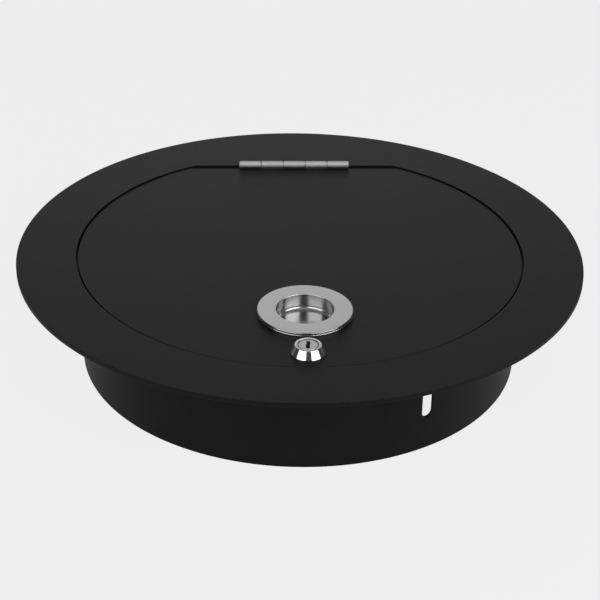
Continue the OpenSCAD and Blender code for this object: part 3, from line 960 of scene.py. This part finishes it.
socket_depth = 1.6 * MM
socket_radius = 2 * MM
head_chamfer = 0.4 * MM
head_high = split_low.z
screw_outline = [(screw_head_radius - head_chamfer, screw_low.z),
                 (screw_head_radius, screw_low.z + head_chamfer), (screw_head_radius, head_high),
                 (shank_radius, head_high), (shank_radius, screw_high.z)]
screw = turned("socket_screw", screw_outline, 48)
combine(screw, turned("socket", [(socket_radius, screw_low.z - past),
                                 (socket_radius, screw_low.z + socket_depth)], 6))
place(screw, (0, lock_y, 0))
smooth(screw, bright_zinc, 32)
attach(screw, "lock_core")
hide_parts("cam_screw")


# ---- Wafers ----
# Four flat wafers stamped from brass sheet, which slide in slots across the plug and are sealed inside it.
# Their own solids are kept as they are.


def stamped_brass():
    """Cold-rolled brass sheet: yellow, half bright, with faint rolling streaks."""
    material, tree, place_of = new_material("brass_stamped")
    rolled = add_node(tree, "ShaderNodeTexNoise", {"Vector": place_of, "Scale": 1 / (0.5 * MM),
                                                   "Detail": 3.0})
    colour = add_node(tree, "ShaderNodeValToRGB", {"Fac": rolled.outputs["Fac"]})
    colour.color_ramp.elements[0].color = linear("#b89a4e")
    colour.color_ramp.elements[1].color = linear("#cfb266")
    shader = add_node(tree, "ShaderNodeBsdfPrincipled", {
        "Base Color": colour.outputs["Color"], "Metallic": 1.0, "Roughness": 0.35})
    finish_material(tree, shader)
    return material


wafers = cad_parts["lock_wafers"]
wafers.data.materials.clear()
wafers.data.materials.append(stamped_brass())


# ---- Studio ----
# A pale seamless floor, two softboxes in front of the object to either side of the camera, a bright wall far
# behind it that its metal mirrors, and a dimmer ceiling. The camera sees the floor at its own pale tone, with
# the object's soft shadow.
floor_z = cad_box[0].z
backdrop = linear("#f6f6f6")
floor_half = 6
evenness = 0.9
mirror_share = 0.33


def studio_floor():
    """Matt pale paper; to the camera, to mirrors and through glass it is evenly lit, and keeps part of its
    shadow."""
    material, tree, place_of = new_material("floor_paper")
    seen = add_node(tree, "ShaderNodeLightPath")
    fibre = add_node(tree, "ShaderNodeTexNoise", {"Vector": place_of, "Scale": 1 / (2 * MM)})
    colour = add_node(tree, "ShaderNodeValToRGB", {"Fac": fibre.outputs["Fac"]})
    colour.color_ramp.elements[0].color = linear("#bcbcbc")
    colour.color_ramp.elements[1].color = linear("#c0c0c0")
    paper = add_node(tree, "ShaderNodeBsdfDiffuse", {"Color": colour.outputs["Color"]})
    even = add_node(tree, "ShaderNodeEmission", {"Color": backdrop, "Strength": 1.0})
    direct = add_node(tree, "ShaderNodeMath", {0: seen.outputs["Is Camera Ray"],
                                               1: seen.outputs["Is Transmission Ray"]}, operation="MAXIMUM")
    mirrored = add_node(tree, "ShaderNodeMath", {0: seen.outputs["Is Glossy Ray"], 1: mirror_share},
                        operation="MULTIPLY")
    either = add_node(tree, "ShaderNodeMath", {0: direct.outputs[0], 1: mirrored.outputs[0]},
                      operation="MAXIMUM")
    share = add_node(tree, "ShaderNodeMath", {0: either.outputs[0], 1: evenness}, operation="MULTIPLY")
    shader = add_node(tree, "ShaderNodeMixShader", {0: share.outputs[0], 1: paper.outputs[0],
                                                    2: even.outputs[0]})
    finish_material(tree, shader)
    return material


bpy.ops.object.select_all(action="DESELECT")
bpy.ops.mesh.primitive_plane_add(size=2 * floor_half, location=(0, 0, floor_z))
floor = bpy.context.object
floor.name = "floor"
bpy.ops.object.transform_apply(location=True, rotation=True, scale=True)
floor.data.materials.append(studio_floor())

scene = bpy.context.scene
scene.view_settings.view_transform = "Standard"
world = bpy.data.worlds.new("studio")
world.use_nodes = True
scene.world = world
sky = world.node_tree
sky.nodes.clear()
seen = add_node(sky, "ShaderNodeLightPath")
even = add_node(sky, "ShaderNodeBackground", {"Color": backdrop, "Strength": 1.0})
ceiling_level = 0.4
direction = add_node(sky, "ShaderNodeTexCoord").outputs["Generated"]
towards = add_node(sky, "ShaderNodeSeparateXYZ", {"Vector": direction})
far_side = add_node(sky, "ShaderNodeMapRange", {"Value": towards.outputs["Y"], "From Min": 0.25,
                                                "From Max": 0.95, "To Min": 0.08, "To Max": 1.0})
height = add_node(sky, "ShaderNodeMapRange", {"Value": towards.outputs["Z"], "From Min": 0.3,
                                              "From Max": 0.65, "To Min": 1.0, "To Max": 0.45})
aside = add_node(sky, "ShaderNodeMath", {0: towards.outputs["X"]}, operation="ABSOLUTE")
breadth = add_node(sky, "ShaderNodeMapRange", {"Value": aside.outputs[0], "From Min": 0.0, "From Max": 0.4,
                                               "To Min": 1.0, "To Max": 0.55})
tall = add_node(sky, "ShaderNodeMath", {0: far_side.outputs["Result"], 1: height.outputs["Result"]},
                operation="MULTIPLY")
far_wall = add_node(sky, "ShaderNodeMath", {0: tall.outputs[0], 1: breadth.outputs["Result"]},
                    operation="MULTIPLY")
overhead = add_node(sky, "ShaderNodeMapRange", {"Value": towards.outputs["Z"], "From Min": 0.6,
                                                "From Max": 0.9})
level = add_node(sky, "ShaderNodeMix", {0: overhead.outputs["Result"], 2: far_wall.outputs[0],
                                        3: ceiling_level})
room = add_node(sky, "ShaderNodeBackground", {"Color": linear("#ffffff"), "Strength": level.outputs[0]})
mixed = add_node(sky, "ShaderNodeMixShader", {0: seen.outputs["Is Camera Ray"], 1: room.outputs[0],
                                              2: even.outputs[0]})
add_node(sky, "ShaderNodeOutputWorld", {"Surface": mixed.outputs[0]})


def softbox(name, at, aim, width, height, power):
    """A square lamp that points at a place on the object."""
    light = bpy.data.lights.new(name, "AREA")
    light.shape = "RECTANGLE"
    light.size = width
    light.size_y = height
    light.energy = power
    lamp = bpy.data.objects.new(name, light)
    lamp.location = at
    lamp.rotation_euler = (Vector(at) - Vector(aim)).to_track_quat("Z", "Y").to_euler()
    scene.collection.objects.link(lamp)


box_distance = 0.9
box_width = 0.82
box_height = 0.6
height_angle = radians(27)
for name, side_angle, power in (("left_box", radians(-42), 3.8), ("right_box", radians(47), 5)):
    at = (box_distance * sin(side_angle) * cos(height_angle),
          -box_distance * cos(side_angle) * cos(height_angle), box_distance * sin(height_angle))
    softbox(name, at, (0, 0, 0), box_width, box_height, power)

# The camera stands in front of the lock, a little to its left, and looks down at the lid.
stand_back = 1.0634
stand_angle = radians(28.079)
look_down = radians(29.827)
turn_round = radians(-2.6)
look_aside = radians(-0.032)
roll = radians(1.161)
lens_mm = 100.79
sensor_mm = 36
camera_data = bpy.data.cameras.new("camera")
camera_data.lens = lens_mm
camera_data.sensor_width = sensor_mm
camera = bpy.data.objects.new("camera", camera_data)
scene.collection.objects.link(camera)
around = Matrix.Rotation(turn_round, 3, "Z")
spot = around @ Vector((0, -stand_back * cos(stand_angle), stand_back * sin(stand_angle)))
facing = (around @ Matrix.Rotation(look_aside, 3, "Z") @ Matrix.Rotation(pi / 2 - look_down, 3, "X")
          @ Matrix.Rotation(roll, 3, "Z"))
camera.matrix_world = Matrix.Translation(spot + Vector((0, 0, flange_top))) @ facing.to_4x4()
scene.camera = camera
